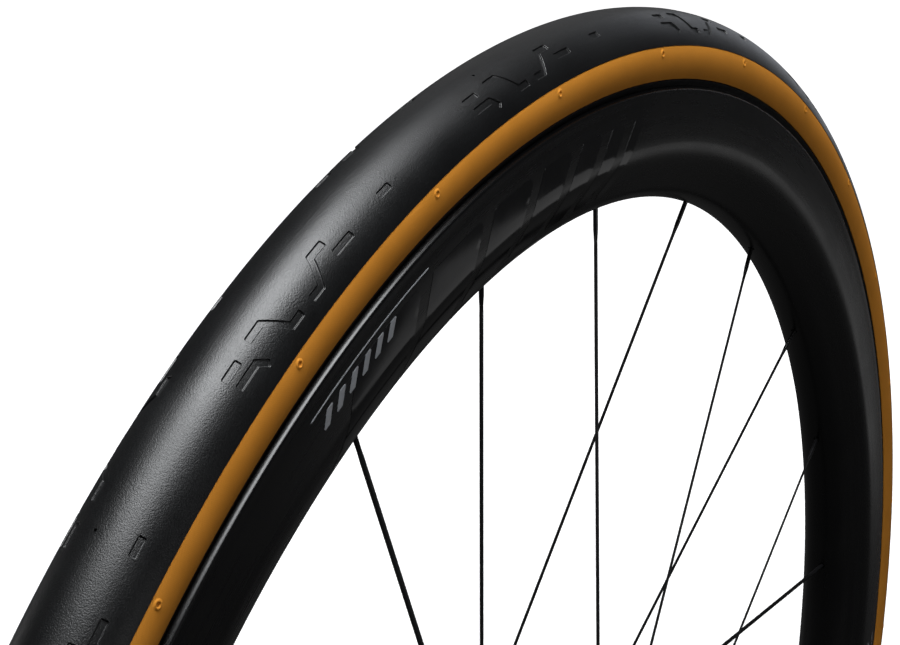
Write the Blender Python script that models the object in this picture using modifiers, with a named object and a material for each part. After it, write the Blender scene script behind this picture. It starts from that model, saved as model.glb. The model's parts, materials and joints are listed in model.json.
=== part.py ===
"""Front bicycle wheel with a slick tan-sided tyre on a deep hollow rim.

The frame: origin at the wheel's centre, the axle along Y, +Z up.  -Y is the left
side, the one with the disc-brake seat.  The valve hangs straight down from the
hub, between two parallel spokes.  Sizes are in millimetres until MM scales them.
"""
import math

import bpy
import bmesh
from mathutils import Matrix, Vector

MM = 0.001
GAP = 0.3                     # clearance between pieces that touch
RING_STEPS = 48               # facets round the tyre and the rim
HUB_STEPS = 24
VALVE_STEPS = 12
MERGE = 0.00005
DRILL_TWIST = 11.0            # degrees

# Tyre section: a circle, with the crown at 0 degrees and the sidewall at 90
TYRE_RADIUS = 340.0
SECTION_RADIUS = 15.2
SECTION_CENTRE = TYRE_RADIUS - SECTION_RADIUS
TREAD_EDGE = 71.4             # degrees from the crown to the tread's edge
TAN_EDGE = 113.0              # degrees from the crown to the chafer's edge
CROWN_TREAD = 2.8
SHOULDER_TREAD = 1.0
BELT = 0.8
BELT_ROOM = 1.7
CASING = 1.0
INNER_CASING_ANGLES = (0.0, 45.0, 90.0)
SEAM = 1.3                    # degrees of gap between tread, sidewall and chafer
BEAD_CORE_RADIUS = 1.3

# Rim section
BEAD_SEAT_RADIUS = 311.0      # half of the 622 mm bead seat
LIP_RADIUS = 316.4
INNER_HALF_WIDTH = 12.5
OUTER_HALF_WIDTH = 15.5
CHANNEL_RADIUS = 308.2
CHANNEL_HALF_WIDTH = 5.0
NOSE_CENTRE = 289.1
NOSE_RADIUS = 10.9
NOSE_WALL = 3.2
RIM_WALL = 2.2
TAPE = 0.4

# Spokes
SPOKE_COUNT = 24
FIRST_SPOKE = 112.5           # degrees from +X towards +Z, at the rim
CROSSING_ANGLE = 60.0         # two crosses: hub hole to rim hole, about the axle
SPOKE_SHANK = 1.0
SPOKE_BLADE = 0.85
SPOKE_BUTT = 1.15
SPOKE_HEAD = 1.9
HEAD_LENGTH = 1.2
ELBOW = 0.9
STAND_OFF = 3.6               # a spoke's line from the middle of its flange
NIPPLE_RADIUS = 2.4
NIPPLE_START = 4.3
NIPPLE_END = 13.0
SPOKE_HOLE = 1.8
ACCESS_HOLE = 4.0

# Hub
FLANGE_HOLES_RADIUS = 27.5
FLANGE_RADIUS = 30.5
FLANGE_HALF = 1.4
FLANGE_Y = {"left": -18.5, "right": 35.0}
FLANGE_HOLE = 1.5
HUB_END = 43.0
HALF_OVERALL = 50.0           # half of the 100 mm between the fork ends
AXLE_BORE = 6.1
AXLE_RADIUS = 7.5
BEARING_BORE = 7.8
BEARING_RADIUS = 14.0
BEARING_START = 35.6
BEARING_END = 42.6
ROTOR_SEAT_Y = -36.0
ROTOR_SEAT_RADIUS = 20.5
SPLINE_RADIUS = 17.0

# Valve, measured from the rim's nose towards the hub
NOSE_LINE = NOSE_CENTRE - NOSE_RADIUS
STEM_RADIUS = 3.0
STEM_HOLE = 3.4
STEM_TOP = 35.0
NECK_RADIUS = 2.55
NECK_START = 29.7

MATERIALS = {
    "tread_rubber": ((0.012, 0.012, 0.013), 0.5, 0.0),
    "tan_sidewall": ((0.62, 0.24, 0.04), 0.65, 0.0),
    "chafer_rubber": ((0.02, 0.02, 0.02), 0.6, 0.0),
    "casing_cloth": ((0.45, 0.36, 0.24), 0.8, 0.0),
    "belt_cloth": ((0.75, 0.6, 0.25), 0.8, 0.0),
    "bead_cord": ((0.7, 0.6, 0.2), 0.6, 0.0),
    "rim_carbon": ((0.01, 0.01, 0.011), 0.35, 0.0),
    "rim_tape": ((0.75, 0.6, 0.15), 0.35, 0.0),
    "spoke_black": ((0.02, 0.02, 0.022), 0.35, 0.7),
    "hub_black": ((0.025, 0.025, 0.027), 0.35, 0.8),
    "bearing_steel": ((0.6, 0.6, 0.62), 0.25, 1.0),
    "axle_aluminium": ((0.5, 0.5, 0.52), 0.35, 1.0),
    "valve_black": ((0.03, 0.03, 0.03), 0.3, 0.8),
    "valve_brass": ((0.7, 0.55, 0.3), 0.3, 1.0),
    "valve_rubber": ((0.02, 0.02, 0.02), 0.7, 0.0),
}


def clear_scene():
    for thing in list(bpy.data.objects):
        bpy.data.objects.remove(thing, do_unlink=True)


def new_collection(name):
    made = bpy.data.collections.new(name)
    bpy.context.scene.collection.children.link(made)
    return made


def new_material(name, colour, roughness, metallic):
    made = bpy.data.materials.new(name)
    made.use_nodes = True
    shader = made.node_tree.nodes["Principled BSDF"]
    shader.inputs["Base Color"].default_value = (*colour, 1.0)
    shader.inputs["Roughness"].default_value = roughness
    shader.inputs["Metallic"].default_value = metallic
    return made


clear_scene()
WHEEL = new_collection("bicycle_wheel")
CUTTERS = new_collection("cutters")
SLOTS = {name: new_material(name, *look) for name, look in MATERIALS.items()}


def add_object(name, data, slot, collection=WHEEL):
    made = bpy.data.objects.new(name, data)
    collection.objects.link(made)
    if slot:
        data.materials.append(SLOTS[slot])
    return made


def runs_down_outside(outline):
    """The closed outline in the order that a Screw modifier turns right side out."""
    area = 0.0
    for (r0, h0), (r1, h1) in zip(outline, outline[1:] + outline[:1]):
        area += r0 * h1 - r1 * h0
    return outline if area < 0 else outline[::-1]


def turned(name, outline, slot, steps, hollow=None):
    """A closed outline of (radius, height) in mm, turned about the local Z axis.

    A hollow is a second closed outline inside the first; it turns inside out.
    An outline that reaches the axis is left open along it.
    """
    loops = [runs_down_outside(outline)]
    if hollow:
        loops.append(runs_down_outside(hollow)[::-1])
    points = []
    edges = []
    for loop in loops:
        first = len(points)
        count = len(loop)
        points += [(r * MM, 0.0, h * MM) for r, h in loop]
        for k in range(count):
            after = (k + 1) % count
            if loop[k][0] > 0.0 or loop[after][0] > 0.0:
                edges.append((first + k, first + after))
    mesh = bpy.data.meshes.new(name)
    mesh.from_pydata(points, edges, [])
    made = add_object(name, mesh, slot)
    screw = made.modifiers.new("turn", "SCREW")
    screw.steps = steps
    screw.render_steps = steps
    screw.use_merge_vertices = True
    screw.merge_threshold = MERGE
    screw.use_smooth_shade = False
    return made


def on_axle(name, outline, slot, steps, hollow=None):
    """A turned piece whose local Z axis lies along the axle, +Y."""
    made = turned(name, outline, slot, steps, hollow)
    made.rotation_euler = (math.radians(-90.0), 0.0, 0.0)
    return made


def on_valve(name, outline, slot):
    """A turned piece on the valve's axis, its heights counted from the rim's nose."""
    made = turned(name, outline, slot, VALVE_STEPS)
    made.location = (0.0, 0.0, -NOSE_LINE * MM)
    return made


def mirrored(half):
    """A whole outline from the half at y > 0, listed from one middle to the other."""
    return half + [(r, -h) for r, h in reversed(half) if abs(h) > 1e-6]


def ring_box(inner, outer, low, high):
    return [(outer, high), (outer, low), (inner, low), (inner, high)]


def polar(radius, degrees, y):
    """A point at an angle from +X towards +Z about the axle, in mm."""
    angle = math.radians(degrees)
    return Vector((radius * math.cos(angle), y, radius * math.sin(angle)))


def add_drill(drill, start, end, radius, sides):
    """Adds one round cutter from start to end, both in mm.

    Its corners are twisted off the facets' edges, so that no two edges coincide.
    """
    along = end - start
    turn = along.to_track_quat("Z", "Y").to_matrix().to_4x4()
    turn @= Matrix.Rotation(math.radians(DRILL_TWIST), 4, "Z")
    place = Matrix.Translation((start + end) * 0.5 * MM) @ turn
    bmesh.ops.create_cone(drill, cap_ends=True, segments=sides, radius1=radius * MM,
                          radius2=radius * MM, depth=along.length * MM, matrix=place)


def drilled(target, name, drills, sides=6):
    """Cuts a list of (start, end, radius) holes out of the target."""
    drill = bmesh.new()
    for start, end, radius in drills:
        add_drill(drill, start, end, radius, sides)
    mesh = bpy.data.meshes.new(name)
    drill.to_mesh(mesh)
    drill.free()
    cutter = add_object(name, mesh, None, CUTTERS)
    cutter.hide_render = True
    cutter.display_type = "WIRE"
    cut = target.modifiers.new(name, "BOOLEAN")
    cut.operation = "DIFFERENCE"
    cut.solver = "EXACT"
    cut.object = cutter


# ---- tyre -------------------------------------------------------------------

def tyre_point(degrees, depth):
    """A point of the tyre's section, at a depth below its outer surface."""
    angle = math.radians(degrees)
    radius = SECTION_RADIUS - depth
    return (SECTION_CENTRE + radius * math.cos(angle), radius * math.sin(angle))


def towards_shoulder(degrees):
    """1 at the crown, 0 at the tread's edge and beyond."""
    share = min(abs(degrees) / TREAD_EDGE, 1.0)
    return math.cos(share * math.pi / 2)


def tread_depth(degrees):
    return SHOULDER_TREAD + (CROWN_TREAD - SHOULDER_TREAD) * towards_shoulder(degrees)


def casing_depth(degrees):
    return tread_depth(degrees) + GAP + BELT_ROOM * towards_shoulder(degrees)


def knots(edge, count):
    """Section angles from -edge to +edge, count of them on each side of the crown."""
    return [edge * k / count for k in range(-count, count + 1)]


def layer(angles, outer_depth, inner_depth):
    outer = [tyre_point(angle, outer_depth(angle)) for angle in reversed(angles)]
    inner = [tyre_point(angle, inner_depth(angle)) for angle in angles]
    return outer + inner


def make_tread_and_belt():
    tread = layer(knots(TREAD_EDGE, 3), lambda angle: 0.0, tread_depth)
    on_axle("tread_cap", tread, "tread_rubber", RING_STEPS)
    belt = layer(knots(TREAD_EDGE * 2 / 3, 2), lambda angle: tread_depth(angle) + GAP,
                 lambda angle: tread_depth(angle) + GAP + BELT)
    on_axle("puncture_belt", belt, "belt_cloth", RING_STEPS)


def heel(depth):
    """The bead's heel: down the rim's wall, then inward along the bead seat."""
    wall = INNER_HALF_WIDTH - GAP - depth
    seat = BEAD_SEAT_RADIUS + GAP + depth
    return [(LIP_RADIUS + depth * 0.5, wall), (seat, wall), (seat, wall - 4.2 + depth)]


def make_casing():
    skin = SHOULDER_TREAD + GAP
    outer_angles = [TREAD_EDGE / 3 * k for k in range(4)] + [90.0, TAN_EDGE]
    outer = [tyre_point(angle, casing_depth(angle)) for angle in outer_angles]
    inner = [tyre_point(angle, casing_depth(angle) + CASING)
             for angle in INNER_CASING_ANGLES]
    half = outer + heel(skin) + heel(skin + CASING)[::-1] + inner[::-1]
    on_axle("casing", mirrored(half), "casing_cloth", RING_STEPS)


def make_sidewall(side, sign):
    """The tan skin, from the tread's edge down to the chafer."""
    angles = [TREAD_EDGE + SEAM, 90.0, TAN_EDGE]
    skin = [tyre_point(angle, 0.0) for angle in angles]
    skin += [tyre_point(angle, SHOULDER_TREAD) for angle in reversed(angles)]
    on_axle("sidewall_" + side, [(r, sign * y) for r, y in skin], "tan_sidewall",
            RING_STEPS)


def make_chafer(side, sign):
    """The black strip that keeps the rim's wall and seat off the casing."""
    top = TAN_EDGE + SEAM
    outer = [tyre_point(top, 0.0)] + heel(0.0)
    inner = [tyre_point(top, SHOULDER_TREAD)] + heel(SHOULDER_TREAD)
    strip = outer + inner[::-1]
    on_axle("chafer_" + side, [(r, sign * y) for r, y in strip], "chafer_rubber",
            RING_STEPS)


def make_bead_core(side, sign):
    """The hoop that holds the tyre on its seat, in the crook of the casing."""
    skin = SHOULDER_TREAD + GAP + CASING + GAP
    middle_y = INNER_HALF_WIDTH - GAP - skin - BEAD_CORE_RADIUS
    middle_r = BEAD_SEAT_RADIUS + GAP + skin + BEAD_CORE_RADIUS
    ring = []
    for k in range(6):
        angle = math.radians(60.0 * k)
        ring.append((middle_r + BEAD_CORE_RADIUS * math.cos(angle),
                     sign * (middle_y + BEAD_CORE_RADIUS * math.sin(angle))))
    on_axle("bead_core_" + side, ring, "bead_cord", RING_STEPS)


# ---- spokes' places, shared by the rim, the hub and the spokes -----------------

def spoke_plan(number):
    """Where spoke number (from 0) starts at the hub and ends at the rim's nose.

    The spokes go to the left and right flanges by turns, and lean in pairs, so
    that two parallel ones stand either side of the valve.
    """
    side = "left" if number % 2 == 0 else "right"
    lean = 1 if number % 4 in (0, 3) else -1
    rim_angle = FIRST_SPOKE - 360.0 / SPOKE_COUNT * number
    hole = polar(FLANGE_HOLES_RADIUS, rim_angle + lean * CROSSING_ANGLE, FLANGE_Y[side])
    outboard = math.copysign(1.0, FLANGE_Y[side])
    leaves = Vector((0.0, outboard * lean, 0.0))
    nose = polar(NOSE_LINE, rim_angle, 0.0)
    elbow = hole + leaves * STAND_OFF
    return hole, leaves, elbow, nose, rim_angle


def make_spoke(number):
    hole, leaves, elbow, nose, _ = spoke_plan(number)
    along = (nose - elbow).normalized()
    reach = (nose - elbow).length
    back = FLANGE_HALF + GAP
    path = [
        (hole - leaves * (back + HEAD_LENGTH), SPOKE_HEAD),
        (hole - leaves * back, SPOKE_HEAD),
        (hole - leaves * (back - 0.1), SPOKE_SHANK),
        (elbow - leaves * ELBOW, SPOKE_SHANK),
        (elbow + along * ELBOW, SPOKE_SHANK),
        (elbow + along * (reach - 40.0), SPOKE_BLADE),
        (elbow + along * (reach - 30.0), SPOKE_BUTT),
        (elbow + along * (reach + NIPPLE_START), SPOKE_BUTT),
        (elbow + along * (reach + NIPPLE_START + 0.1), NIPPLE_RADIUS),
        (elbow + along * (reach + NIPPLE_END), NIPPLE_RADIUS),
    ]
    name = f"spoke_{number + 1:02d}"
    curve = bpy.data.curves.new(name, "CURVE")
    curve.dimensions = "3D"
    curve.bevel_depth = MM
    curve.bevel_resolution = 1
    curve.use_fill_caps = True
    line = curve.splines.new("POLY")
    line.points.add(len(path) - 1)
    for point, (place, radius) in zip(line.points, path):
        point.co = (*(place * MM), 1.0)
        point.radius = radius
    add_object(name, curve, "spoke_black")


# ---- rim --------------------------------------------------------------------

def nose_arc(radius, angles):
    """Points round the rim's nose; 90 degrees faces +Y and 0 faces the hub."""
    return [(NOSE_CENTRE - radius * math.cos(math.radians(angle)),
             radius * math.sin(math.radians(angle))) for angle in angles]


def make_rim():
    half = [
        (CHANNEL_RADIUS, CHANNEL_HALF_WIDTH),
        (BEAD_SEAT_RADIUS, CHANNEL_HALF_WIDTH + 2.4),
        (BEAD_SEAT_RADIUS, INNER_HALF_WIDTH),
        (LIP_RADIUS, INNER_HALF_WIDTH),
        (LIP_RADIUS, OUTER_HALF_WIDTH - 0.4),
        (LIP_RADIUS - 0.6, OUTER_HALF_WIDTH),
        (300.0, 14.6),
    ] + nose_arc(NOSE_RADIUS, (90.0, 60.0, 30.0, 0.0))
    floor = CHANNEL_RADIUS - RIM_WALL
    hollow_half = [
        (floor, OUTER_HALF_WIDTH - RIM_WALL - 1.5),
        (300.0, 14.6 - RIM_WALL),
        (NOSE_CENTRE, NOSE_RADIUS - RIM_WALL),
        (NOSE_LINE + NOSE_WALL, 3.0),
    ]
    hollow = hollow_half + [(r, -y) for r, y in reversed(hollow_half)]
    rim = on_axle("rim", mirrored(half), "rim_carbon", RING_STEPS, hollow)
    drills = []
    for number in range(SPOKE_COUNT):
        _, _, elbow, nose, angle = spoke_plan(number)
        along = (nose - elbow).normalized()
        drills.append((nose - along * 6.0, nose + along * 8.0, SPOKE_HOLE))
        drills.append((polar(floor - 4.0, angle, 0.0),
                       polar(CHANNEL_RADIUS + 1.5, angle, 0.0), ACCESS_HOLE))
    drilled(rim, "rim_holes", drills)
    drilled(rim, "rim_valve_hole", [(polar(NOSE_LINE - 4.0, 270.0, 0.0),
                                     polar(CHANNEL_RADIUS + 1.5, 270.0, 0.0),
                                     STEM_HOLE)], VALVE_STEPS)


def make_rim_tape():
    """The tape that seals the access holes in the rim's channel."""
    bottom = CHANNEL_RADIUS + GAP
    tape = ring_box(bottom, bottom + TAPE, -CHANNEL_HALF_WIDTH + GAP,
                    CHANNEL_HALF_WIDTH - GAP)
    ring = on_axle("rim_tape", tape, "rim_tape", RING_STEPS)
    drilled(ring, "tape_hole", [(polar(bottom - 3.0, 270.0, 0.0),
                                 polar(bottom + 4.0, 270.0, 0.0), STEM_HOLE)], VALVE_STEPS)


# ---- hub --------------------------------------------------------------------

def make_hub_shell():
    left = FLANGE_Y["left"]
    right = FLANGE_Y["right"]
    neck = 15.5
    end = 16.8
    outside = [
        (end, HUB_END),
        (end, right + FLANGE_HALF + 1.5),
        (end + 2.0, right + FLANGE_HALF),
        (FLANGE_RADIUS, right + FLANGE_HALF),
        (FLANGE_RADIUS, right - FLANGE_HALF),
        (neck + 2.0, right - FLANGE_HALF),
        (neck, right - FLANGE_HALF - 3.0),
        (neck - 2.0, (left + right) / 2),
        (neck, left + FLANGE_HALF + 3.0),
        (neck + 2.0, left + FLANGE_HALF),
        (FLANGE_RADIUS, left + FLANGE_HALF),
        (FLANGE_RADIUS, left - FLANGE_HALF),
        (end + 2.0, left - FLANGE_HALF),
        (end, left - FLANGE_HALF - 2.0),
        (end, ROTOR_SEAT_Y + 5.0),
        (ROTOR_SEAT_RADIUS, ROTOR_SEAT_Y + 2.5),
        (ROTOR_SEAT_RADIUS, ROTOR_SEAT_Y),
        (SPLINE_RADIUS, ROTOR_SEAT_Y),
        (SPLINE_RADIUS, -HUB_END),
    ]
    seat = BEARING_RADIUS + GAP
    stop = BEARING_START - GAP
    waist = 11.0
    inside = [(seat, -HUB_END), (seat, -stop), (waist, -stop),
              (waist, stop), (seat, stop), (seat, HUB_END)]
    hub = on_axle("hub_shell", outside + inside, "hub_black", HUB_STEPS)
    drills = []
    for number in range(SPOKE_COUNT):
        hole = spoke_plan(number)[0]
        across = Vector((0.0, FLANGE_HALF + 1.0, 0.0))
        drills.append((hole - across, hole + across, FLANGE_HOLE))
    drilled(hub, "flange_holes", drills)


def make_bearing(side, sign):
    """A cartridge bearing: two races, and its caged balls as one ring between."""
    near = sign * BEARING_START
    far = sign * BEARING_END
    race = 1.8
    inner_top = BEARING_BORE + race
    outer_low = BEARING_RADIUS - race
    pieces = {
        "bearing_inner_race_": (BEARING_BORE, inner_top, near, far),
        "bearing_ball_ring_": (inner_top + GAP, outer_low - GAP,
                               near + sign * 1.0, far - sign * 1.0),
        "bearing_outer_race_": (outer_low, BEARING_RADIUS, near, far),
    }
    for name, (inner, outer, low, high) in pieces.items():
        on_axle(name + side, ring_box(inner, outer, low, high), "bearing_steel", HUB_STEPS)


def make_axle():
    tube = ring_box(AXLE_BORE, AXLE_RADIUS, -BEARING_END, BEARING_END)
    on_axle("axle", tube, "axle_aluminium", HUB_STEPS)


def make_end_cap(side, sign):
    """Pushes on the inner race, covers the bearing and meets the fork's end."""
    start = BEARING_END + GAP
    outline = [
        (AXLE_BORE, start), (9.2, start), (9.2, HUB_END + GAP), (14.0, HUB_END + GAP),
        (14.0, HUB_END + 2.0), (9.8, HUB_END + 3.2), (9.8, HALF_OVERALL - 0.5),
        (9.3, HALF_OVERALL), (AXLE_BORE, HALF_OVERALL),
    ]
    on_axle("end_cap_" + side, [(r, sign * y) for r, y in outline], "hub_black", HUB_STEPS)


# ---- valve ------------------------------------------------------------------

def make_valve():
    """A tubeless valve; heights run from the rim's nose to the hub."""
    tape_top = NOSE_LINE - CHANNEL_RADIUS - 2 * GAP - TAPE
    grommet_top = tape_top - 2.4
    foot = grommet_top - GAP
    bore = 1.3
    core_bore = 2.3
    seat = 28.0
    on_valve("valve_grommet", [(STEM_HOLE, tape_top), (4.5, tape_top),
                               (4.3, grommet_top), (STEM_HOLE, grommet_top)],
             "valve_rubber")
    on_valve("valve_stem", [
        (bore, foot - 1.6), (4.2, foot - 1.6), (4.2, foot), (STEM_RADIUS, foot),
        (STEM_RADIUS, NECK_START), (NECK_RADIUS, NECK_START), (NECK_RADIUS, STEM_TOP),
        (core_bore - 0.3, STEM_TOP), (core_bore - 0.3, seat), (bore, seat),
    ], "valve_black")
    on_valve("valve_lock_nut", [(STEM_HOLE, 0.7), (5.2, 0.7), (5.6, 1.2), (5.6, 3.8),
                                (5.0, 4.6), (STEM_HOLE, 4.6)], "valve_black")
    core = core_bore - 0.3 - GAP
    on_valve("valve_core", [(0.95, seat + GAP), (core, seat + GAP), (core, STEM_TOP + 2.0),
                            (0.95, STEM_TOP + 2.0)], "valve_brass")
    on_valve("valve_pin", [(0.0, seat - 3.0), (1.0, seat - 3.0), (1.0, seat - 1.0),
                           (0.6, seat), (0.6, STEM_TOP + 7.0), (0.0, STEM_TOP + 7.0)],
             "valve_brass")
    nut = STEM_TOP + 2.0 + GAP
    on_valve("valve_core_nut", [(0.95, nut), (1.9, nut), (1.9, nut + 2.2),
                                (1.5, nut + 2.7), (0.95, nut + 2.7)], "valve_brass")
    cap_start = NECK_START + GAP
    cap_top = STEM_TOP + 10.5
    on_valve("valve_cap", [
        (NECK_RADIUS + GAP, cap_start), (3.6, cap_start), (3.6, STEM_TOP + 4.0),
        (2.9, cap_top - 1.0), (2.2, cap_top), (0.0, cap_top), (0.0, cap_top - 1.6),
        (2.2, cap_top - 1.6), (NECK_RADIUS + GAP, STEM_TOP + 3.0),
    ], "valve_black")


make_tread_and_belt()
make_casing()
for SIDE, SIGN in (("left", -1.0), ("right", 1.0)):
    make_sidewall(SIDE, SIGN)
    make_chafer(SIDE, SIGN)
    make_bead_core(SIDE, SIGN)
    make_bearing(SIDE, SIGN)
    make_end_cap(SIDE, SIGN)
make_rim()
make_rim_tape()
make_hub_shell()
make_axle()
make_valve()
for NUMBER in range(SPOKE_COUNT):
    make_spoke(NUMBER)
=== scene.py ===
"""Looks of a road wheel and its slick tan-sided tyre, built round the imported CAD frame.

Frame: origin at the wheel's centre, axle along Y, +Z up; -Y is the left side, which
the camera sees.  Lengths are in millimetres until MM scales them.  Section angles
count from the tyre's crown towards its left sidewall; wheel angles count from +X
towards +Z about the axle.
"""
import json
import math

import bmesh
import bpy
from mathutils import Matrix, Vector
from mathutils.geometry import delaunay_2d_cdt


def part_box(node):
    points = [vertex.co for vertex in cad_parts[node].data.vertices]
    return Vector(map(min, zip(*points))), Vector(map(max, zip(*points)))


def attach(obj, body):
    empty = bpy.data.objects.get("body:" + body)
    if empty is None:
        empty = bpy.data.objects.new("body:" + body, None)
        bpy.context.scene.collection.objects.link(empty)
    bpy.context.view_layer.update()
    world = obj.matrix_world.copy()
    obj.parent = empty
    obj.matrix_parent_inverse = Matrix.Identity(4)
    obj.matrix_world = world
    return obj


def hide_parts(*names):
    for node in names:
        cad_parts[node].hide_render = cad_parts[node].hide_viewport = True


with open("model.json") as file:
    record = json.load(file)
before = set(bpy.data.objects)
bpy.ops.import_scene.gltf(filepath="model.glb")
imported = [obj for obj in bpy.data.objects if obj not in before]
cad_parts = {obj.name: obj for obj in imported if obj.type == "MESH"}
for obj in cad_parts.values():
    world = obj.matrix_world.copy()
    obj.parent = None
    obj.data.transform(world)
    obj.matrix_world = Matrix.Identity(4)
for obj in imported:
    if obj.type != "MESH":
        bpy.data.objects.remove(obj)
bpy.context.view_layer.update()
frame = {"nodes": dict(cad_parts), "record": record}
MM = 0.001
SHARP_DEGREES = 35.0          # edges that bend more than this stay sharp
NEARLY_STRAIGHT = math.radians(88.0)  # half a corner too flat to fillet
MESHING_TOLERANCE = 1e-5


def reach(node, axis):
    """How far a CAD node reaches from the wheel's centre along an axis, in mm."""
    low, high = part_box(node)
    return max(abs(low[axis]), abs(high[axis])) / MM


# ---- driving sizes, in millimetres and degrees ----

TYRE_RADIUS = reach("tread_cap", 2)
SECTION_RADIUS = reach("sidewall_left", 1)
SECTION_CENTRE = TYRE_RADIUS - SECTION_RADIUS
TREAD_EDGE = math.degrees(math.asin(reach("tread_cap", 1) / SECTION_RADIUS))
TAN_EDGE = 113.0
CROWN_TREAD = 2.8
SHOULDER_TREAD = 1.0

LIP_RADIUS = reach("rim", 2)
RIM_HALF_WIDTH = reach("rim", 1)
WALL_HALF_WIDTH = RIM_HALF_WIDTH - 3.0
BEAD_SEAT_RADIUS = 311.0
CHANNEL_RADIUS = 308.2
CHANNEL_HALF_WIDTH = 5.0
NOSE_CENTRE = 289.1
NOSE_RADIUS = 10.9
NOSE_LINE = NOSE_CENTRE - NOSE_RADIUS
RIM_WALL = 2.2

SPOKE_COUNT = 24
FIRST_SPOKE = 112.5
CROSSING_ANGLE = 60.0
STAND_OFF = 3.6
FLANGE_HOLES_RADIUS = 27.5
FLANGE_RADIUS = reach("hub_shell", 2)
FLANGE_HALF = 1.4
FLANGE_Y = {"left": -18.5, "right": 35.0}
HUB_END = reach("hub_shell", 1)
HALF_OVERALL = reach("end_cap_left", 1)

RING_STEPS = 360
HUB_STEPS = 144
VALVE_STEPS = 48
WHEEL = "wheel"
AXLE = "axle"


# ---- outlines ----

def filleted(points, steps=4):
    """A closed outline from (x, y) or (x, y, fillet radius) corners."""
    outline = []
    count = len(points)
    for k, point in enumerate(points):
        here = Vector(point[:2])
        if len(point) == 2:
            outline.append(here)
            continue
        back = (Vector(points[k - 1][:2]) - here).normalized()
        ahead = (Vector(points[(k + 1) % count][:2]) - here).normalized()
        half = back.angle(ahead) / 2
        if half > NEARLY_STRAIGHT:
            outline.append(here)
            continue
        run = point[2] / math.tan(half)
        centre = here + (back + ahead).normalized() * (point[2] / math.sin(half))
        start = here + back * run - centre
        end = here + ahead * run - centre
        for step in range(steps + 1):
            outline.append(centre + start.slerp(end, step / steps) * point[2])
    return [tuple(point) for point in outline]


def bezier(start, start_pull, end_pull, end, count):
    """Points along a cubic curve, without its two ends."""
    points = []
    for k in range(1, count):
        t = k / count
        s = 1.0 - t
        points.append(tuple(s ** 3 * a + 3 * s * s * t * b + 3 * s * t * t * c + t ** 3 * d
                            for a, b, c, d in zip(start, start_pull, end_pull, end)))
    return points


def mirrored(half):
    """A whole (radius, y) outline from the half at y > 0, middle to middle."""
    return half + [(r, -y) for r, y in reversed(half) if abs(y) > 1e-6]


def circle(x, y, radius, count):
    return [(x + radius * math.cos(math.tau * k / count),
             y + radius * math.sin(math.tau * k / count)) for k in range(count)]


def polar(radius, degrees, y):
    angle = math.radians(degrees)
    return Vector((radius * math.cos(angle), y, radius * math.sin(angle)))


# ---- mesh building ----

def smooth(mesh, sharp_degrees):
    mesh.shade_smooth()
    mesh.set_sharp_from_angle(angle=math.radians(sharp_degrees))


def add_piece(name, verts, faces, sharp_degrees=SHARP_DEGREES):
    """A mesh object from points in millimetres, faces out, smooth up to an angle."""
    mesh = bpy.data.meshes.new(name)
    mesh.from_pydata([Vector(v) * MM for v in verts], [], faces)
    shape = bmesh.new()
    shape.from_mesh(mesh)
    bmesh.ops.remove_doubles(shape, verts=shape.verts, dist=1e-6)
    bmesh.ops.recalc_face_normals(shape, faces=shape.faces)
    shape.to_mesh(mesh)
    shape.free()
    smooth(mesh, sharp_degrees)
    piece = bpy.data.objects.new(name, mesh)
    bpy.context.scene.collection.objects.link(piece)
    return piece


def dress(piece, slot, body, *nodes, material=None):
    """Gives a piece its slot's material, or another one, its body and the nodes it replaces.
    """
    piece.data.materials.clear()
    piece.data.materials.append(MATERIALS[material or slot])
    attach(piece, body)
    if nodes:
        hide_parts(*nodes)


def turned_faces(outlines, steps, place):
    """Points and quads of closed outlines turned once; place(radius, height, turn)."""
    verts = []
    faces = []
    for outline in outlines:
        first = len(verts)
        count = len(outline)
        for step in range(steps):
            turn = math.tau * step / steps
            verts += [place(r, h, turn) for r, h in outline]
            here = first + step * count
            there = first + (step + 1) % steps * count
            for k in range(count):
                after = (k + 1) % count
                faces.append((here + k, here + after, there + after, there + k))
    return verts, faces


def about_axle(r, h, turn):
    return (r * math.cos(turn), h, r * math.sin(turn))


def about_valve(r, h, turn):
    """Heights run from the rim's nose towards the hub; the valve is at the bottom."""
    return (r * math.cos(turn), r * math.sin(turn), h - NOSE_LINE)


def turned(name, outline, steps=HUB_STEPS, place=about_axle, hollow=None,
           sharp=SHARP_DEGREES):
    outlines = [outline] + ([hollow] if hollow else [])
    verts, faces = turned_faces(outlines, steps, place)
    return add_piece(name, verts, faces, sharp)


def bore_holes(piece, holes, sides=20):
    """Cuts (start, end, radius) holes, in mm, and leaves a plain mesh."""
    drill = bmesh.new()
    for start, end, radius in holes:
        along = end - start
        turn = along.to_track_quat("Z", "Y").to_matrix().to_4x4()
        place = Matrix.Translation((start + end) / 2 * MM) @ turn
        bmesh.ops.create_cone(drill, cap_ends=True, segments=sides, radius1=radius * MM,
                              radius2=radius * MM, depth=along.length * MM, matrix=place)
    mesh = bpy.data.meshes.new("drill")
    drill.to_mesh(mesh)
    drill.free()
    cutter = bpy.data.objects.new("drill", mesh)
    bpy.context.scene.collection.objects.link(cutter)
    cut = piece.modifiers.new("holes", "BOOLEAN")
    cut.operation = "DIFFERENCE"
    cut.solver = "EXACT"
    cut.object = cutter
    graph = bpy.context.evaluated_depsgraph_get()
    result = bpy.data.meshes.new_from_object(piece.evaluated_get(graph))
    piece.modifiers.clear()
    piece.data = result
    bpy.data.objects.remove(cutter)
    smooth(result, SHARP_DEGREES)


# ---- surfaces meshed flat, then wrapped round the wheel ----

def closed_edges(first, count):
    return [(first + k, first + (k + 1) % count) for k in range(count)]


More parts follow.
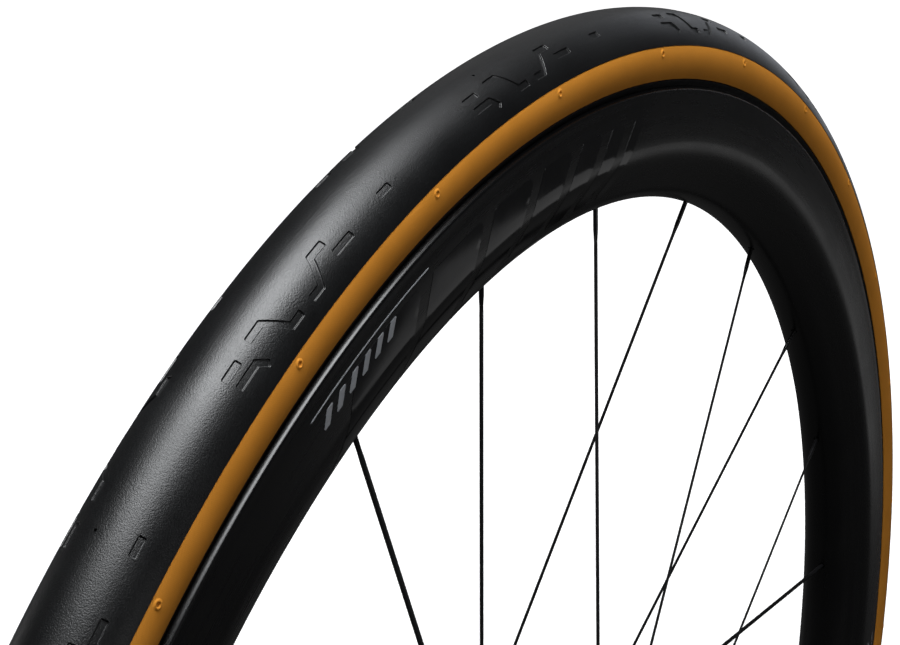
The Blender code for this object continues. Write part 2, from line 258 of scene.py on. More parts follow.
def subdivided(loop, longest):
    """The loop with every side cut into lengths of at most the longest."""
    points = []
    for start, end in zip(loop, loop[1:] + loop[:1]):
        a = Vector(start)
        b = Vector(end)
        cuts = max(1, math.ceil((b - a).length / longest))
        points += [tuple(a.lerp(b, k / cuts)) for k in range(cuts)]
    return points


def flat_mesh(columns, rows, loops, keep_clear):
    """Triangles over a grid of columns and rows, with loops of (points, rise) as edges.

    keep_clear(x, y) says where the grid's own points give way to the loops.  Returns
    points as (x, y, rise) and faces.
    """
    points = [(x, y) for x in columns for y in rows if not keep_clear(x, y)]
    rises = [0.0] * len(points)
    edges = []
    for loop, rise in loops:
        edges += closed_edges(len(points), len(loop))
        points += loop
        rises += [rise] * len(loop)
    placed, _, faces, origins, _, _ = delaunay_2d_cdt(
        [Vector(p) for p in points], edges, [], 0, MESHING_TOLERANCE)
    spots = []
    for place, origin in zip(placed, origins):
        spots.append((place.x, place.y, min((rises[k] for k in origin), default=0.0)))
    return spots, faces


# ---- tyre ----

REPEAT = 60.0                 # degrees of tread that one meshed stretch covers
UNIT = 20.0                   # degrees from one dash of the tread to the next
FIRST_DASH = 107.7
STRETCH_START = FIRST_DASH + 2.0
FAR_SHIFT = 8.5               # degrees that the right shoulder's marks lag by
GROOVE_HALF = 0.95
GROOVE_CORNER = 0.35
GROOVE_SIDE = 1.1             # longest straight side of a meshed groove
# Outwards growth of a groove's outline and its rise there, from the lip to the floor
GROOVE_WALL = ((0.42, 0.0), (0.14, 0.0), (0.06, -0.06), (-0.06, -0.38), (-0.22, -0.45))
MOULD_LINE = 0.22
MOULD_RISE = 0.03
DOTS = ((18.0, -3.0), (48.0, 9.0))  # degrees along the stretch, section degrees
DOT_RADIUS = 0.45
DOT_DEPTH = 0.8
DOT_SIDES = 12
TREAD_ROWS = 17               # on each side of the mould line
TREAD_COLUMNS = 144
MARK_LENGTH = 20.0            # more than any mark is long, in millimetres
# Each mark is a bent bar: (degrees from its dash, section degrees) corners
MARKS = (
    ((-0.45, 38.0), (0.45, 38.0)),
    ((12.4, 30.0), (11.3, 30.0)),
    ((12.3, 44.0), (10.9, 44.0), (10.5, 54.0)),
    ((10.3, 26.5), (9.3, 26.5), (8.5, 51.0), (7.7, 51.0)),
    ((6.9, 51.0), (6.1, 51.0), (5.3, 26.5), (4.3, 26.5)),
    ((4.4, 42.0), (3.0, 42.0)),
)


def along_tread(degrees):
    return math.radians(degrees) * TYRE_RADIUS


def across_tread(degrees):
    return math.radians(degrees) * SECTION_RADIUS


def tyre_place(x, y, rise, start=0.0):
    """From flat millimetres along and across the tyre to its surface."""
    turn = math.radians(start) + x / TYRE_RADIUS
    section = y / SECTION_RADIUS
    radius = SECTION_RADIUS + rise
    out = SECTION_CENTRE + radius * math.cos(section)
    return (out * math.cos(turn), -radius * math.sin(section), out * math.sin(turn))


def bar_loop(path, half_width, grow):
    """The rounded outline of a bent bar, made wider and longer by grow."""
    width = half_width + grow
    path = [Vector(p) for p in path]
    path[0] = path[0] - (path[1] - path[0]).normalized() * grow
    path[-1] = path[-1] + (path[-1] - path[-2]).normalized() * grow
    ways = [(b - a).normalized() for a, b in zip(path, path[1:])]
    left = []
    right = []
    for k, point in enumerate(path):
        before = ways[max(k - 1, 0)]
        after = ways[min(k, len(ways) - 1)]
        normal = Vector((-before.y, before.x)) + Vector((-after.y, after.x))
        side = normal * (2.0 / normal.length_squared) * width
        left.append(point + side)
        right.append(point - side)
    corners = [(*p, GROOVE_CORNER + grow) for p in left + right[::-1]]
    return subdivided(filleted(corners, 3), GROOVE_SIDE)


def distance_to_path(x, y, path):
    spot = Vector((x, y))
    nearest = math.inf
    for a, b in zip(path, path[1:]):
        run = b - a
        share = min(max((spot - a).dot(run) / run.length_squared, 0.0), 1.0)
        nearest = min(nearest, (spot - a - run * share).length)
    return nearest


def tread_marks():
    """The bars' centre lines in one stretch, in flat millimetres."""
    paths = []
    for sign, shift in ((1.0, 0.0), (-1.0, FAR_SHIFT)):
        for unit in range(-1, round(REPEAT / UNIT) + 1):
            for mark in MARKS:
                path = [Vector((along_tread(a + FIRST_DASH + shift + unit * UNIT
                                            - STRETCH_START),
                                across_tread(sign * section))) for a, section in mark]
                if 0.0 < path[0].x < along_tread(REPEAT):
                    paths.append(path)
    return paths


def tread_surface():
    """The tread's outer face over one stretch: bars, mould line and wear dots."""
    paths = tread_marks()
    loops = []
    for path in paths:
        for grow, rise in GROOVE_WALL:
            loops.append((bar_loop(path, GROOVE_HALF, grow), rise))
    dots = [(along_tread(degrees), across_tread(section)) for degrees, section in DOTS]
    for x, y in dots:
        loops += [(circle(x, y, DOT_RADIUS, DOT_SIDES), 0.0),
                  (circle(x, y, DOT_RADIUS * 0.7, DOT_SIDES), -DOT_DEPTH)]
    edge = across_tread(TREAD_EDGE)
    rows = [edge * k / TREAD_ROWS for k in range(-TREAD_ROWS, TREAD_ROWS + 1) if k]
    rows += [-MOULD_LINE, 0.0, MOULD_LINE]
    columns = [along_tread(REPEAT) * k / TREAD_COLUMNS for k in range(TREAD_COLUMNS + 1)]

    def keep_clear(x, y):
        if any(math.hypot(x - a, y - b) < DOT_RADIUS + 0.2 for a, b in dots):
            return True
        near = (p for p in paths if abs(p[0].x - x) < MARK_LENGTH and p[0].y * y > 0.0)
        return any(distance_to_path(x, y, p) < GROOVE_HALF + 0.75 for p in near)

    spots, faces = flat_mesh(columns, sorted(rows), loops, keep_clear)
    ridged = [(x, y, MOULD_RISE if abs(y) < 1e-4 else rise) for x, y, rise in spots]
    return ridged, faces, columns


def tread_depth(section):
    share = math.cos(min(abs(section) / TREAD_EDGE, 1.0) * math.pi / 2)
    return SHOULDER_TREAD + (CROWN_TREAD - SHOULDER_TREAD) * share


SKIN_SHARP_DEGREES = 24.0
LEVEL_MM = 0.02               # a face that rises less than this lies along the tyre
FACES_OUT = 0.9               # least cosine between such a face and the tyre's normal


def wrapped(name, surface, underside, repeats, stretch, start):
    """A closed skin: a flat-meshed outer face, and an underside of plain rows.

    underside lists (across, depth) in mm, from one edge of the outer face to the other.
    """
    spots, faces, columns = surface
    verts = []
    polygons = []
    for repeat in range(repeats):
        turn = start + repeat * stretch
        first = len(verts)
        verts += [tyre_place(x, y, rise, turn) for x, y, rise in spots]
        polygons += [[first + k for k in face] for face in faces]
        first = len(verts)
        count = len(underside)
        for x in columns:
            verts += [tyre_place(x, y, -depth, turn) for y, depth in underside]
        for column in range(len(columns) - 1):
            for k in range(count - 1):
                a = first + column * count + k
                polygons.append((a, a + 1, a + count + 1, a + count))
    skin = add_piece(name, verts, polygons, SKIN_SHARP_DEGREES)
    true_normals(skin)
    return skin


def true_normals(piece):
    """Gives the skin the tyre's own normals wherever a face lies along the tyre."""
    mesh = piece.data
    heights = []
    normals = []
    for vertex in mesh.vertices:
        x, y, z = vertex.co / MM
        radius = math.hypot(x, z)
        out = radius - SECTION_CENTRE
        from_centre = math.hypot(out, y)
        heights.append(from_centre)
        normals.append(Vector((out * x / radius, y, out * z / radius)) / from_centre)
    chosen = []
    for polygon in mesh.polygons:
        levels = [heights[k] for k in polygon.vertices]
        level = max(levels) - min(levels) < LEVEL_MM
        outward = normals[polygon.vertices[0]].dot(polygon.normal) > FACES_OUT
        for k in polygon.vertices:
            chosen.append(normals[k] if level and outward else Vector())
    mesh.normals_split_custom_set(chosen)


def make_tread():
    edge = across_tread(TREAD_EDGE)
    angles = [TREAD_EDGE * k / 6 for k in range(-6, 7)]
    underside = [(-edge, 0.0)]
    underside += [(across_tread(angle), tread_depth(angle)) for angle in angles]
    underside.append((edge, 0.0))
    return wrapped("tyre_tread", tread_surface(), underside, round(360 / REPEAT), REPEAT,
                   STRETCH_START)


VENT_STEP = 12.0              # degrees between the moulded vents of a sidewall
FIRST_VENT = 129.15
VENT_SECTION = 80.0
VENT_SIDES = 20
# A vent from its foot inwards, as (radius, rise)
VENT_RINGS = ((1.6, 0.0), (1.3, 0.12), (1.05, 0.26), (0.8, 0.26), (0.6, 0.06),
              (0.45, -0.12))
TAN_START = TREAD_EDGE + 0.3
TAN_DROP = 0.12               # the tan lies this far under the tread's edge
TAN_ROWS = 10
TAN_COLUMNS = 28


def sidewall_surface(sign):
    """One vent's stretch of the tan skin, the vent a raised ring with a pin hole."""
    centre_x = along_tread(VENT_STEP / 2)
    centre_y = across_tread(VENT_SECTION)
    low = across_tread(TAN_START)
    high = across_tread(TAN_EDGE)
    columns = [along_tread(VENT_STEP) * k / TAN_COLUMNS for k in range(TAN_COLUMNS + 1)]
    rows = [low + (high - low) * k / TAN_ROWS for k in range(TAN_ROWS + 1)]
    loops = [(circle(centre_x, centre_y, radius, VENT_SIDES), rise)
             for radius, rise in VENT_RINGS]

    def keep_clear(x, y):
        return math.hypot(x - centre_x, y - centre_y) < VENT_RINGS[0][0] + 0.3

    spots, faces = flat_mesh(columns, rows, loops, keep_clear)
    dropped = [(x, sign * y, rise - TAN_DROP) for x, y, rise in spots]
    return dropped, faces, columns


def make_sidewall(side, sign):
    low = sign * across_tread(TAN_START)
    high = sign * across_tread(TAN_EDGE)
    middle = (low + high) / 2
    underside = [(low, TAN_DROP), (low, SHOULDER_TREAD), (middle, SHOULDER_TREAD),
                 (high, SHOULDER_TREAD), (high, TAN_DROP)]
    start = FIRST_VENT - VENT_STEP / 2
    return wrapped("tyre_sidewall_" + side, sidewall_surface(sign), underside,
                   round(360 / VENT_STEP), VENT_STEP, start)


def tyre_section(degrees, depth):
    angle = math.radians(degrees)
    radius = SECTION_RADIUS - depth
    return (SECTION_CENTRE + radius * math.cos(angle), radius * math.sin(angle))


def make_chafer(side, sign):
    """The black strip between the tan and the rim, down to the bead's heel."""
    wall = WALL_HALF_WIDTH - 0.3
    seat = BEAD_SEAT_RADIUS + 0.3
    top = tyre_section(TAN_EDGE + 1.0, 0.0)
    inner_top = tyre_section(TAN_EDGE + 1.0, SHOULDER_TREAD)
    corners = [(*top, 0.3), (LIP_RADIUS + 0.5, wall + 0.35, 1.5), (seat, wall, 0.8),
               (seat, wall - 4.2, 0.3), (seat + 1.0, wall - 3.2), (seat + 1.0, wall - 1.0),
               (LIP_RADIUS + 0.7, wall - 1.0), inner_top]
    outline = [(r, sign * y) for r, y in filleted(corners, 5)]
    return turned("tyre_chafer_" + side, outline, RING_STEPS)


# ---- rim ----

NOSE_START = 62.0             # degrees round the nose where the rim's side begins
BULGE_RADIUS = 299.0          # where the rim's side is widest
LIP_HALF_WIDTH = RIM_HALF_WIDTH - 0.7
LIP_SLOPE = 0.8               # how far the lip's top falls towards its outer edge
LIP_DROP = 2.1                # from the lip's top to where the rim's side begins
NOSE_STEPS = 12
SPOKE_HOLE_RADIUS = 1.3
SPOKE_HOLE_REACH = 6.0
VALVE_ANGLE = 270.0
VALVE_HOLE_RADIUS = 3.3


def nose_point(degrees, radius=NOSE_RADIUS):
    angle = math.radians(degrees)
    return (NOSE_CENTRE - radius * math.cos(angle), radius * math.sin(angle))


def rim_side():
    """The rim's side from under its lip, over its widest line, to the nose."""
    top = (LIP_RADIUS - LIP_DROP, LIP_HALF_WIDTH)
    widest = (BULGE_RADIUS, RIM_HALF_WIDTH)
    end = nose_point(NOSE_START)
    lean = math.radians(90.0 - NOSE_START)
    pull = (end[0] + 4.5 * math.cos(lean), end[1] + 4.5 * math.sin(lean))
    upper = bezier(top, (top[0] - 4.0, top[1] + 0.45), (BULGE_RADIUS + 5.0, widest[1]),
                   widest, 8)
    lower = bezier(widest, (BULGE_RADIUS - 4.5, widest[1]), pull, end, 12)
    return [top] + upper + [widest] + lower + [end]


def spoke_plan(number):
    """Where a spoke starts at the hub and ends at the rim's nose, in millimetres."""
    side = "left" if number % 2 == 0 else "right"
    lean = 1 if number % 4 in (0, 3) else -1
    rim_angle = FIRST_SPOKE - 360.0 / SPOKE_COUNT * number
    hole = polar(FLANGE_HOLES_RADIUS, rim_angle + lean * CROSSING_ANGLE, FLANGE_Y[side])
    leaves = Vector((0.0, math.copysign(1.0, FLANGE_Y[side]) * lean, 0.0))
    elbow = hole + leaves * STAND_OFF
    nose = polar(NOSE_LINE, rim_angle, 0.0)
    return hole, leaves, elbow, nose


def make_rim():
    lip = filleted([
        (CHANNEL_RADIUS, 0.0), (CHANNEL_RADIUS, CHANNEL_HALF_WIDTH, 0.8),
        (BEAD_SEAT_RADIUS, CHANNEL_HALF_WIDTH + 2.4, 0.8),
        (BEAD_SEAT_RADIUS, WALL_HALF_WIDTH, 0.5), (LIP_RADIUS, WALL_HALF_WIDTH, 0.3),
        (LIP_RADIUS, WALL_HALF_WIDTH + 0.7), (LIP_RADIUS - LIP_SLOPE, LIP_HALF_WIDTH, 0.8),
        (LIP_RADIUS - LIP_DROP, LIP_HALF_WIDTH)], 5)
    nose = [nose_point(NOSE_START * (1 - k / NOSE_STEPS)) for k in range(1, NOSE_STEPS + 1)]
    half = lip[:-1] + rim_side() + nose
    hollow_half = [(CHANNEL_RADIUS - RIM_WALL, 11.5), (300.0, 12.2),
                   (NOSE_CENTRE, NOSE_RADIUS - RIM_WALL), (NOSE_LINE + 3.2, 3.0)]
    hollow = hollow_half + [(r, -y) for r, y in reversed(hollow_half)]
    rim = turned("rim_shell", mirrored(half), RING_STEPS, hollow=hollow)
    holes = []
    for number in range(SPOKE_COUNT):
        _, _, elbow, end = spoke_plan(number)
        run = (end - elbow).normalized() * SPOKE_HOLE_REACH
        holes.append((end - run, end + run, SPOKE_HOLE_RADIUS))
    holes.append((polar(NOSE_LINE - 4.0, VALVE_ANGLE, 0.0),
                  polar(NOSE_LINE + 8.0, VALVE_ANGLE, 0.0), VALVE_HOLE_RADIUS))
    bore_holes(rim, holes)
    return rim


# ---- spokes ----

BLADE = (1.22, 0.28)          # half width in the wheel's plane, half thickness
SHANK = (1.0, 1.0)
BUTT = (0.8, 0.8)
NIPPLE = (2.2, 2.2)
BEND_RADIUS = 1.6
BEND_STEPS = 6
# The head behind the flange, as (depth, radius) from its crown inwards
HEAD = ((1.25, 0.9), (1.15, 1.5), (0.8, 1.85), (0.25, 1.9), (0.05, 1.6), (0.0, 1.0))
# Sections by their distance from the elbow, and from where the rim's nose begins
FROM_ELBOW = ((12.0, SHANK), (16.0, (1.05, 0.75)), (20.0, (1.12, 0.42)), (24.0, BLADE))
FROM_NOSE = ((-14.0, BLADE), (-12.0, (1.05, 0.4)), (-10.0, (0.9, 0.62)), (-8.0, BUTT),
             (4.3, BUTT), (4.35, NIPPLE), (12.6, NIPPLE), (13.0, (1.8, 1.8)))
SECTION_SIDES = 16


def ring(centre, wide, thin, size):
    """An elliptical section of a spoke; wide and thin are its unit axes."""
    turns = [math.tau * k / SECTION_SIDES for k in range(SECTION_SIDES)]
    return [centre + wide * size[0] * math.cos(turn) + thin * size[1] * math.sin(turn)
            for turn in turns]


def lofted(name, rings):
    """A closed skin through rings of points, with one flat face at each end."""
    verts = [point for section in rings for point in section]
    sides = len(rings[0])
    faces = []
    for k in range(len(rings) - 1):
        for j in range(sides):
            after = (j + 1) % sides
            faces.append((k * sides + j, k * sides + after,
                          (k + 1) * sides + after, (k + 1) * sides + j))
    faces.append(tuple(range(sides))[::-1])
    faces.append(tuple(range((len(rings) - 1) * sides, len(rings) * sides)))
    return add_piece(name, verts, faces, 40.0)


def make_spoke(number):
    """Head, elbow, round shank, blade, round butt and hidden nipple in one skin."""
    hole, leaves, elbow, nose = spoke_plan(number)
    along = (nose - elbow).normalized()
    length = (nose - elbow).length
    wide = along.cross(leaves).normalized()
    thin = wide.cross(along).normalized()
    back = FLANGE_HALF + 0.3
    first = along - leaves * along.dot(leaves)
    first.normalize()
    rings = []
    for depth, size in HEAD:
        centre = hole - leaves * (back + depth)
        rings.append(ring(centre, wide, first, (size, size)))
    for step in range(BEND_STEPS + 1):
        turn = step / BEND_STEPS * math.pi / 2
        centre = (elbow - leaves * BEND_RADIUS + along * BEND_RADIUS
                  + leaves * BEND_RADIUS * math.sin(turn)
                  - along * BEND_RADIUS * math.cos(turn))
        way = (leaves * math.cos(turn) + along * math.sin(turn)).normalized()
        rings.append(ring(centre, wide, wide.cross(way).normalized(), SHANK))
    stations = FROM_ELBOW + tuple((length + past, size) for past, size in FROM_NOSE)
    for distance, size in stations:
        rings.append(ring(elbow + along * distance, wide, thin, size))
    return lofted(f"spoke_bladed_{number + 1:02d}", rings)


# ---- hub ----

BARREL = 16.8
WAIST = 13.5
ROTOR_SEAT_Y = -36.0
ROTOR_SEAT_RADIUS = 20.5
SPLINE_RADIUS = 17.0
SPLINE_TEETH = 18
SPLINE_DEPTH = 1.1
BEARING_RADIUS = 14.0
BEARING_STOP = 35.5
FLANGE_HOLE_RADIUS = 1.25
BORE_RADIUS = 6.1
TUBE_RADIUS = 7.5
SPIGOT_START = 42.7           # where an end cap begins, inside the bearing
SPIGOT_RADIUS = 9.2
SHIELD_RADIUS = 14.0
END_CAP_RADIUS = 9.8


def about_splines(r, h, turn):
    """Like about_axle, with the disc's spline cut into the hub's left end."""
    tooth = turn * SPLINE_TEETH / math.tau % 1.0
    if h < ROTOR_SEAT_Y - 0.1 and r > SPLINE_RADIUS - 1.0 and tooth < 0.5:
        r -= SPLINE_DEPTH
    return about_axle(r, h, turn)


def make_hub_shell():
    left = FLANGE_Y["left"]
    right = FLANGE_Y["right"]
    outline = filleted([
        (BARREL, HUB_END, 0.6), (BARREL, right + FLANGE_HALF, 1.8),
        (FLANGE_RADIUS, right + FLANGE_HALF, 0.8), (FLANGE_RADIUS, right - FLANGE_HALF, 0.8),
        (WAIST + 1.5, right - FLANGE_HALF, 5.0), (WAIST, (left + right) / 2, 60.0),
        (WAIST + 1.5, left + FLANGE_HALF, 5.0), (FLANGE_RADIUS, left + FLANGE_HALF, 0.8),
        (FLANGE_RADIUS, left - FLANGE_HALF, 0.8), (BARREL, left - FLANGE_HALF, 2.4),
        (BARREL, ROTOR_SEAT_Y + 5.0, 1.0), (ROTOR_SEAT_RADIUS, ROTOR_SEAT_Y + 2.5, 0.5),
        (ROTOR_SEAT_RADIUS, ROTOR_SEAT_Y, 0.4), (SPLINE_RADIUS, ROTOR_SEAT_Y),
        (SPLINE_RADIUS, ROTOR_SEAT_Y - 0.2), (SPLINE_RADIUS, -HUB_END, 0.5),
        (BEARING_RADIUS, -HUB_END, 0.3), (BEARING_RADIUS, -BEARING_STOP),
        (WAIST - 2.5, -BEARING_STOP), (WAIST - 2.5, BEARING_STOP),
        (BEARING_RADIUS, BEARING_STOP), (BEARING_RADIUS, HUB_END, 0.3)], 6)
    hub = turned("hub_body", outline, SPLINE_TEETH * 8, about_splines, sharp=30.0)
    across = Vector((0.0, FLANGE_HALF + 1.0, 0.0))
    starts = [spoke_plan(number)[0] for number in range(SPOKE_COUNT)]
    bore_holes(hub, [(hole - across, hole + across, FLANGE_HOLE_RADIUS) for hole in starts])
    return hub


def make_axle():
    end = reach("axle", 1)
    return turned("axle_tube", filleted([
        (BORE_RADIUS, -end), (TUBE_RADIUS, -end, 0.3), (TUBE_RADIUS, end, 0.3),
        (BORE_RADIUS, end)]))


def make_end_cap(side, sign):
    """A shouldered cap with an O-ring groove, a shield and a chamfered mouth."""
    outline = filleted([
        (BORE_RADIUS, SPIGOT_START), (SPIGOT_RADIUS, SPIGOT_START),
        (SPIGOT_RADIUS, HUB_END + 0.1), (SHIELD_RADIUS, HUB_END + 0.1, 0.2),
        (SHIELD_RADIUS, HUB_END + 1.7, 0.6), (END_CAP_RADIUS, HUB_END + 3.2, 0.8),
        (END_CAP_RADIUS, HUB_END + 4.3), (9.3, HUB_END + 4.5), (9.3, HUB_END + 5.2),
        (END_CAP_RADIUS, HUB_END + 5.4), (END_CAP_RADIUS, HALF_OVERALL, 0.6),
        (BORE_RADIUS + 0.5, HALF_OVERALL, 0.2), (BORE_RADIUS, HALF_OVERALL - 0.6)])
    return turned("end_cap_turned_" + side, [(r, sign * y) for r, y in outline])


# ---- valve ----

STEM_RADIUS = 3.0
NECK_RADIUS = 2.55
NECK_START = 29.7
STEM_TOP = 35.0
STEM_PITCH = 0.8
THREAD_DEPTH = 0.26
THREAD_START = -6.0
STEM_BORE = 1.3
CORE_POCKET = (2.0, 28.0)     # radius, and the height of its floor
NUT_RADIUS = 5.6
NUT_RIDGES = 30
VALVE_CAP_RADIUS = 3.6
CAP_TOP = STEM_TOP + 10.5
CAP_FLUTES = 12
FLUTES_END = STEM_TOP + 3.2


def threaded(r, h, turn):
    """The stem and its neck carry a helical thread; what hides in the rim is plain."""
    on_stem = abs(r - STEM_RADIUS) < 0.01 and THREAD_START < h < NECK_START - 0.5
    on_neck = abs(r - NECK_RADIUS) < 0.01 and NECK_START + 0.3 < h < STEM_TOP - 0.3
    if on_stem or on_neck:
        phase = (h / STEM_PITCH - turn / math.tau) % 1.0
        r -= THREAD_DEPTH * abs(2.0 * phase - 1.0)
    return about_valve(r, h, turn)


def steps_between(radius, low, high, pitch):
    count = max(1, round((high - low) / pitch))
    return [(radius, low + (high - low) * k / count) for k in range(count + 1)]


def make_valve_stem():
    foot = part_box("valve_stem")[0].z / MM + NOSE_LINE
    outline = [(STEM_BORE, foot), (4.2, foot), (4.2, foot + 1.6), (STEM_RADIUS, foot + 1.6)]
    outline += steps_between(STEM_RADIUS, THREAD_START, NECK_START, STEM_PITCH / 5)
    outline += steps_between(NECK_RADIUS, NECK_START + 0.01, STEM_TOP, STEM_PITCH / 5)
    outline += [(CORE_POCKET[0], STEM_TOP), CORE_POCKET, (STEM_BORE, CORE_POCKET[1])]
    return turned("valve_threaded_stem", outline, VALVE_STEPS, threaded, sharp=50.0)


def knurled(r, h, turn):
    if r > NUT_RADIUS - 0.4:
        r -= 0.2 * (1.0 + math.cos(NUT_RIDGES * turn))
    return about_valve(r, h, turn)


def make_lock_nut():
    outline = filleted([(3.15, 0.7), (5.3, 0.7, 0.3), (NUT_RADIUS, 1.2, 0.2),
                        (NUT_RADIUS, 3.8, 0.3), (5.0, 4.6, 0.3), (3.15, 4.6)], 3)
    return turned("valve_knurled_nut", outline, NUT_RIDGES * 8, knurled)


def fluted(r, h, turn):
    if r > VALVE_CAP_RADIUS - 0.3 and NECK_START + 1.2 < h < FLUTES_END:
        r -= 0.28 * max(0.0, math.cos(CAP_FLUTES * turn)) ** 2
    return about_valve(r, h, turn)


def make_valve_cap():
    start = NECK_START + 0.3
    outline = [(2.85, start), (3.5, start), (VALVE_CAP_RADIUS, start + 0.2),
               (VALVE_CAP_RADIUS, start + 0.8)]
    outline += steps_between(VALVE_CAP_RADIUS, start + 1.2, FLUTES_END, 0.8)
    outline += [(VALVE_CAP_RADIUS, STEM_TOP + 3.9), (3.1, CAP_TOP - 2.2),
                (2.75, CAP_TOP - 0.6), (2.1, CAP_TOP), (1.2, CAP_TOP), (0.02, CAP_TOP),
                (0.02, CAP_TOP - 1.6), (2.2, CAP_TOP - 1.6), (2.85, STEM_TOP + 3.0)]
    return turned("valve_fluted_cap", outline, CAP_FLUTES * 8, fluted)


def two_flats(r, h, turn):
    """The core nut's outside, cut flat on two sides for a spanner."""
    if r > 1.6:
        r = min(r, 1.55 / max(abs(math.cos(turn)), 0.01))
    return about_valve(r, h, turn)


def make_core_nut():
    low = STEM_TOP + 2.3
    outline = filleted([(0.95, low), (1.9, low, 0.15), (1.9, low + 2.2, 0.15),
                        (1.5, low + 2.7, 0.15), (0.95, low + 2.7)], 3)
    return turned("valve_core_nut_turned", outline, 96, two_flats)


# ---- graphics on the rim ----

GLOSS_LIFT = 0.08             # how far the graphics stand out of the rim's side
INK_LIFT = 0.13
DECAL_START = 119.5           # wheel angle at which a group of graphics begins
DECAL_GROUPS = 3


def rim_half_width(radius):
    """The rim's half width at a radius of its side."""
    side = rim_side()
    for (r1, y1), (r2, y2) in zip(side, side[1:]):
        if r2 <= radius <= r1:
            return y2 + (y1 - y2) * (radius - r2) / (r1 - r2)
    return RIM_HALF_WIDTH


def decal_place(x, radius, sign, lift):
    """x runs along the rim in mm at the radius of the bead seat."""
    angle = x / BEAD_SEAT_RADIUS
    y = sign * (rim_half_width(radius) + lift)
    return (radius * math.cos(angle), y, radius * math.sin(angle))


def decal_shell(loop, sign, top):
    """One graphic as a thin closed plate that follows the rim's side."""
    low = Vector((min(p[0] for p in loop), min(p[1] for p in loop)))
    high = Vector((max(p[0] for p in loop), max(p[1] for p in loop)))
    points = list(loop)
    across = max(1, math.ceil((high.x - low.x) / 3.0))
    down = max(1, math.ceil((high.y - low.y) / 2.0))
    for i in range(1, across):
        for j in range(1, down):
            points.append((low.x + (high.x - low.x) * i / across,
                           low.y + (high.y - low.y) * j / down))
    placed, _, faces, _, _, _ = delaunay_2d_cdt(
        [Vector(p) for p in points], closed_edges(0, len(loop)), [list(range(len(loop)))],
        1, MESHING_TOLERANCE)
    used = sorted({k for face in faces for k in face})
    index = {k: n for n, k in enumerate(used)}
    spots = [placed[k] for k in used]
    verts = [decal_place(p.x, p.y, sign, top) for p in spots]
    verts += [decal_place(p.x, p.y, sign, -top) for p in spots]
    count = len(spots)
    polygons = [[index[k] for k in face] for face in faces]
    polygons += [[index[k] + count for k in reversed(face)] for face in faces]
    seen = {}
    for face in faces:
        for a, b in zip(face, face[1:] + face[:1]):
            key = (min(a, b), max(a, b))
            seen[key] = None if key in seen else (a, b)
    for edge in seen.values():
        if edge:
            a, b = index[edge[0]], index[edge[1]]
            polygons.append((a, b, b + count, a + count))
    return verts, polygons


def along_rim(degrees):
    return math.radians(degrees) * BEAD_SEAT_RADIUS


def slanted_bar(start, width, slant, low, high, corner):
    """A bar across the rim's side, in degrees from the group's start and mm of radius."""
    end = -start - width
    corners = [(along_rim(-start), low, corner), (along_rim(end), low, corner),
               (along_rim(end - slant), high, corner),
               (along_rim(-start - slant), high, corner)]
    return subdivided(filleted(corners), 3.0)


GLOSS_WIDTHS = (6.4, 5.2, 4.2, 3.3, 2.5, 1.8, 1.2)
GLOSS_GAP = 1.1
TICKS = 6
TICK_STEP = 1.2


def gloss_graphics():
    """A run of broad slanted bars that grow narrower."""
    loops = []
    start = 2.0
    for width in GLOSS_WIDTHS:
        loops.append(slanted_bar(start, width, 3.4, 285.5, 308.5, 1.6))
        start += width + GLOSS_GAP
    return loops


def pale_graphics():
    """Short slanted ticks over the first bar, and a hairline along them."""
    ticks = [slanted_bar(2.0 + TICK_STEP * k, 0.55, 0.75, 304.6, 308.6, 0.3)
             for k in range(TICKS)]
    return ticks + [slanted_bar(1.5, 11.0, 0.1, 310.6, 310.9, 0.05)]


def make_decals(name, loops, top):
    verts = []
    faces = []
    for group in range(DECAL_GROUPS):
        turn = along_rim(DECAL_START + 360.0 / DECAL_GROUPS * group)
        for sign in (-1.0, 1.0):
            for loop in loops:
                placed = [(turn + x, y) for x, y in loop]
                shell_verts, shell_faces = decal_shell(placed, sign, top)
                first = len(verts)
                verts += shell_verts
                faces += [[first + k for k in face] for face in shell_faces]
    return add_piece(name, verts, faces, 40.0)


# ---- materials ----

def shade(red, green, blue):
    """A linear colour from 0-255 display values."""
    linear = []
    for value in (red, green, blue):
        v = value / 255
        linear.append(v / 12.92 if v <= 0.04045 else ((v + 0.055) / 1.055) ** 2.4)
    return (*linear, 1.0)


